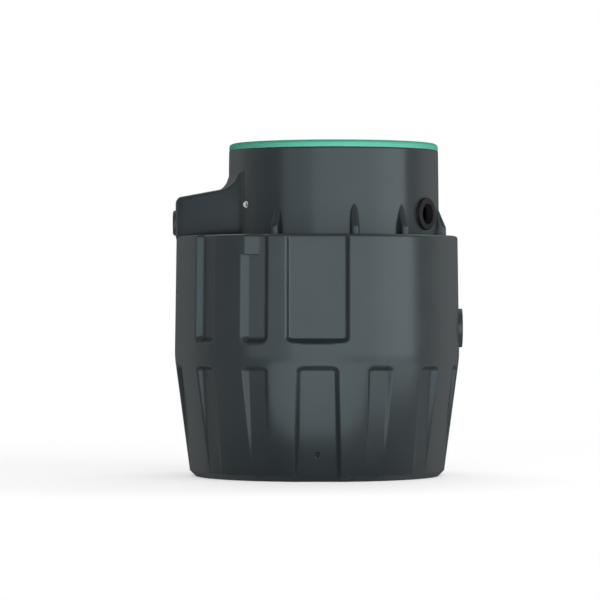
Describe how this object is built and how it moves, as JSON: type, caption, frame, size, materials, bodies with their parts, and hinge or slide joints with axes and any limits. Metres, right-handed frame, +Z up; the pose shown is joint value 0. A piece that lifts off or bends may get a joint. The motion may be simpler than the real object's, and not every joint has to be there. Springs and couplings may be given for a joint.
{
  "type": "sewage pumping station",
  "caption": "Buried sewage pumping station: ribbed round plastic tank with an off-centre neck, screwed lid, low inlet, outlet housing and a cable entry",
  "frame": {"origin": "centre of the tank's round base, on its underside", "axes": "+Z up, +X towards the inlet, -Y towards the viewer of the picture"},
  "size_m": [0.8732, 0.8588, 1],
  "materials": {
    "tank_plastic": "dark blue-grey moulded polyethylene, satin to glossy",
    "lid_plastic": "green moulded polyethylene, satin",
    "socket_plastic": "dark rigid pipe socket, satin",
    "seal_rubber": "black moulded rubber, matt",
    "steel": "bright stainless steel"
  },
  "bodies": {
    "root": {"tank_floor": "tank_plastic", "lower_wall_front": "tank_plastic", "lower_wall_right_front": "tank_plastic", "lower_wall_right_rear": "tank_plastic", "lower_wall_rear": "tank_plastic", "lower_wall_left_rear": "tank_plastic", "lower_wall_left": "tank_plastic", "lower_wall_left_front": "tank_plastic", "upper_wall_front": "tank_plastic", "upper_wall_right_front": "tank_plastic", "upper_wall_right": "tank_plastic", "upper_wall_right_rear": "tank_plastic", "upper_wall_rear": "tank_plastic", "upper_wall_left_rear": "tank_plastic", "upper_wall_left_front": "tank_plastic", "shoulder_front": "tank_plastic", "shoulder_right": "tank_plastic", "shoulder_rear": "tank_plastic", "shoulder_left": "tank_plastic", "shoulder_blocks": "tank_plastic", "neck_wall_front": "tank_plastic", "neck_wall_right_front": "tank_plastic", "neck_wall_right_rear": "tank_plastic", "neck_wall_rear": "tank_plastic", "neck_wall_left": "tank_plastic", "neck_rim": "tank_plastic", "neck_gussets_front": "tank_plastic", "neck_gussets_rear": "tank_plastic", "housing_end_wall": "tank_plastic", "housing_top": "tank_plastic", "housing_wall_front": "tank_plastic", "housing_wall_rear": "tank_plastic", "lid": "lid_plastic", "lid_screws": "steel", "neck_bolts": "steel", "neck_washers": "steel", "outlet_socket": "socket_plastic", "inlet_socket": "socket_plastic", "entry_seal": "seal_rubber"}
  },
  "joints": []
}
